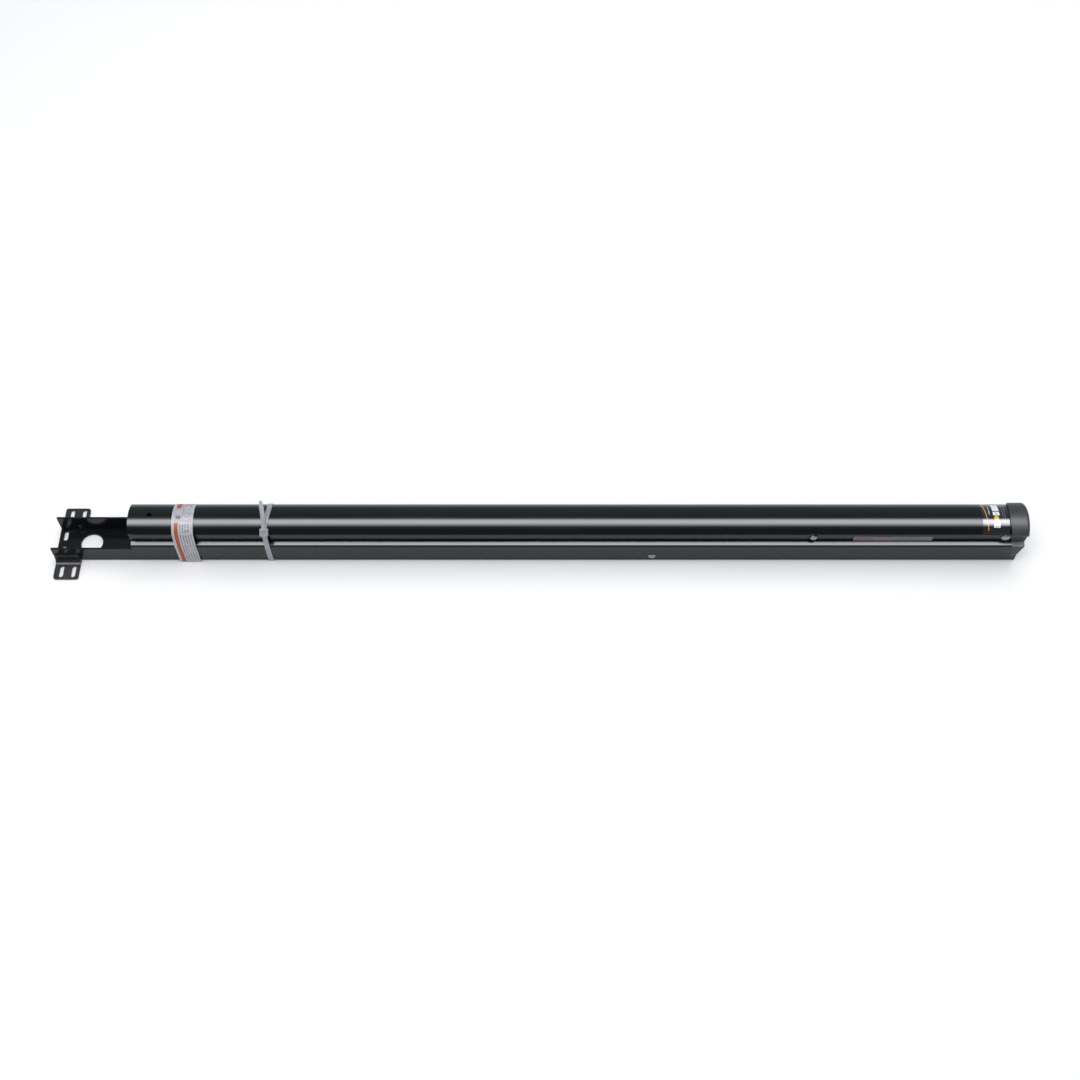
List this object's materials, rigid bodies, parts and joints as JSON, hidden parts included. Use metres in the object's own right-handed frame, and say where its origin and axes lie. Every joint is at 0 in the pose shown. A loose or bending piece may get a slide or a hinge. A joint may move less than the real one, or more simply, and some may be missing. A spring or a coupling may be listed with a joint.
{
  "type": "folding awning support arm",
  "caption": "Folding side arm for a vehicle patio awning: wall channel, two hidden links, gas strut and a full-length hollow outer arm, folded shut and strapped.",
  "frame": {"origin": "centre of the bounding box in plan, on the wall face (the channel's back)", "axes": "+X down the wall from the head end to the capped end, +Z out of the wall, Y across the arm with the near side of the picture at -Y"},
  "size_m": [1.754, 0.151, 0.1257],
  "materials": {
    "black_anodised": "satin black anodised extrusion",
    "black_bracket": "satin black powder coat",
    "black_link": "satin black powder coat",
    "dark_rivet": "dark satin",
    "plated_steel": "zinc plated, dark satin",
    "nylon": "natural nylon",
    "bronze": "sintered bronze",
    "rubber_pad": "matte black",
    "tie_nylon": "natural translucent nylon",
    "cap_plastic": "fine moulded texture",
    "sticker_film": "gloss vinyl with plain stripes",
    "data_film": "silver grey vinyl with plain marks",
    "band_paper": "white band with orange header blocks",
    "rod_chrome": "polished",
    "tube_black": "gloss black paint",
    "seal_black": "moulded black"
  },
  "bodies": {
    "wall_channel": {"wall_channel": "black_anodised", "channel_flange_near": "black_anodised", "channel_flange_far": "black_anodised", "top_bracket_near": "black_bracket", "top_bracket_far": "black_bracket", "rivet_near_1": "dark_rivet", "rivet_near_2": "dark_rivet", "rivet_far_1": "dark_rivet", "rivet_far_2": "dark_rivet", "upper_base_pin": "dark_rivet", "lower_base_pin": "plated_steel", "strut_base_pin": "dark_rivet", "upper_spacer_near": "nylon", "upper_spacer_far": "nylon", "lower_spacer_near": "nylon", "lower_spacer_far": "nylon", "strut_spacer_near": "nylon", "strut_spacer_far": "nylon", "rest_pad_near": "rubber_pad", "rest_pad_far": "rubber_pad", "cable_tie": "tie_nylon"},
    "lower_link": {"lower_link": "black_link", "lower_base_bush_near": "bronze", "lower_base_bush_far": "bronze", "lower_tip_bush_near": "bronze", "lower_tip_bush_far": "bronze"},
    "upper_link": {"upper_link": "black_link", "upper_base_bush_near": "bronze", "upper_base_bush_far": "bronze", "upper_tip_bush_near": "bronze", "upper_tip_bush_far": "bronze", "strut_lug_pin": "plated_steel", "lug_spacer_near": "nylon", "lug_spacer_far": "nylon"},
    "outer_arm": {"outer_arm": "black_anodised", "end_cap": "cap_plastic", "lower_arm_bolt": "plated_steel", "lower_arm_nut": "plated_steel", "lower_arm_washer_near": "nylon", "lower_arm_washer_far": "nylon", "upper_arm_stub_near": "plated_steel", "upper_arm_stub_far": "plated_steel", "maker_sticker": "sticker_film", "data_label": "data_film", "caution_band": "band_paper"},
    "strut_tube": {"strut_tube": "tube_black", "strut_gland": "seal_black", "strut_base_eye": "plated_steel"},
    "strut_rod": {"strut_rod": "rod_chrome", "strut_piston": "seal_black", "strut_rod_eye": "plated_steel"}
  },
  "joints": [
    {"name": "lower_link_fold", "type": "hinge", "parent": "wall_channel", "child": "lower_link", "pos_m": [0.209, 0, 0.016], "axis": [0, -1, 0], "range_deg": [0, 62], "deforming": ["cable_tie"]},
    {"name": "outer_arm_fold", "type": "hinge", "parent": "lower_link", "child": "outer_arm", "pos_m": [0.838, 0, 0.07], "axis": [0, 1, 0], "range_deg": [0, 95.37]},
    {"name": "upper_link_fold", "type": "hinge", "parent": "wall_channel", "child": "upper_link", "pos_m": [-0.574, 0, 0.016], "axis": [0, -1, 0], "range_deg": [0, 43.06]},
    {"name": "strut_tube_swing", "type": "hinge", "parent": "wall_channel", "child": "strut_tube", "pos_m": [-0.054, 0, 0.016], "axis": [0, 1, 0], "range_deg": [0, 1.29]},
    {"name": "strut_rod_slide", "type": "slide", "parent": "strut_tube", "child": "strut_rod", "axis": [-0.9976, 0, 0.0697], "range_m": [0, 0.03336]}
  ],
  "couplings": [
    {"joint": "outer_arm_fold", "follows": "lower_link_fold", "ratio": 1.5381},
    {"joint": "upper_link_fold", "follows": "lower_link_fold", "ratio": 0.69456},
    {"joint": "strut_tube_swing", "follows": "lower_link_fold", "ratio": 0.020853},
    {"joint": "strut_rod_slide", "follows": "lower_link_fold", "m_per_rad": 0.030819}
  ]
}
